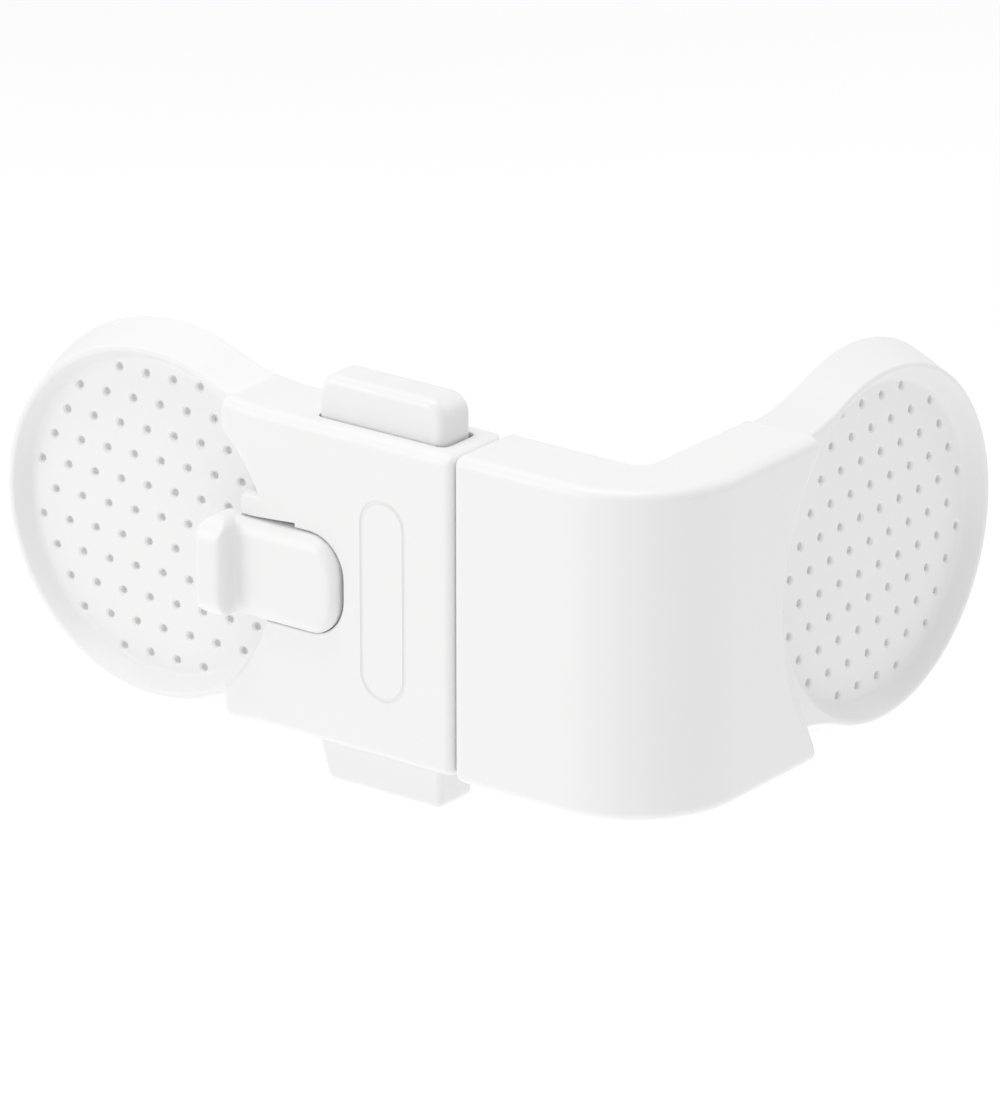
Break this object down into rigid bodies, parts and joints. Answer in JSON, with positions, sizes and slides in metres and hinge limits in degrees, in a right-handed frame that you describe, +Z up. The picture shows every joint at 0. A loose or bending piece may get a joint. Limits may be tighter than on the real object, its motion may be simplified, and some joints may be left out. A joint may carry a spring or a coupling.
{
  "type": "child safety lock",
  "caption": "Child safety lock for a cabinet corner: an L-shaped strike arm plugs into a latch housing with squeeze buttons and a thumb slider, both on round adhesive pads.",
  "frame": {"origin": "middle of the housing's adhesive face, which sticks to the cabinet's side", "axes": "+X along the cabinet's side toward its front corner, +Y out of the adhesive face into the cabinet, +Z up"},
  "size_m": [0.1061, 0.0818, 0.052],
  "materials": {
    "white_plastic": "gloss",
    "acetal": "satin",
    "steel": "zinc plated",
    "foam_tape": "matte"
  },
  "bodies": {
    "housing": {"lock_housing": "white_plastic", "housing_back_cover": "white_plastic", "housing_cover_screw_1": "steel", "housing_cover_screw_2": "steel", "housing_cover_screw_3": "steel", "housing_tape": "foam_tape", "top_latch_arm": "acetal", "top_latch_screw": "steel", "top_button_spring": "steel", "bottom_latch_arm": "acetal", "bottom_latch_screw": "steel", "bottom_button_spring": "steel"},
    "top_button": {"top_button": "white_plastic"},
    "bottom_button": {"bottom_button": "white_plastic"},
    "slider": {"thumb_slider": "white_plastic", "lock_plate": "acetal", "slider_screw": "steel"},
    "arm": {"strike_arm": "white_plastic", "arm_inner_cover": "white_plastic", "arm_cover_screw_1": "steel", "arm_cover_screw_2": "steel", "arm_cover_screw_3": "steel", "arm_cover_screw_4": "steel", "strike_fork": "acetal", "fork_screw_1": "steel", "fork_screw_2": "steel", "arm_tape": "foam_tape"}
  },
  "joints": [
    {"name": "top_button_press", "type": "slide", "parent": "housing", "child": "top_button", "axis": [0, 0, -1], "range_m": [0, 0.0026], "stiffness_N_per_m": 600, "springref_m": -0.001, "deforming": ["top_button_spring", "top_latch_arm"]},
    {"name": "bottom_button_press", "type": "slide", "parent": "housing", "child": "bottom_button", "axis": [0, 0, 1], "range_m": [0, 0.0026], "stiffness_N_per_m": 600, "springref_m": -0.001, "deforming": ["bottom_button_spring", "bottom_latch_arm"]},
    {"name": "lock_slide", "type": "slide", "parent": "housing", "child": "slider", "axis": [-1, 0, 0], "range_m": [0, 0.005]},
    {"name": "arm_release", "type": "slide", "parent": "housing", "child": "arm", "axis": [1, 0, 0], "range_m": [0, 0.02]}
  ]
}
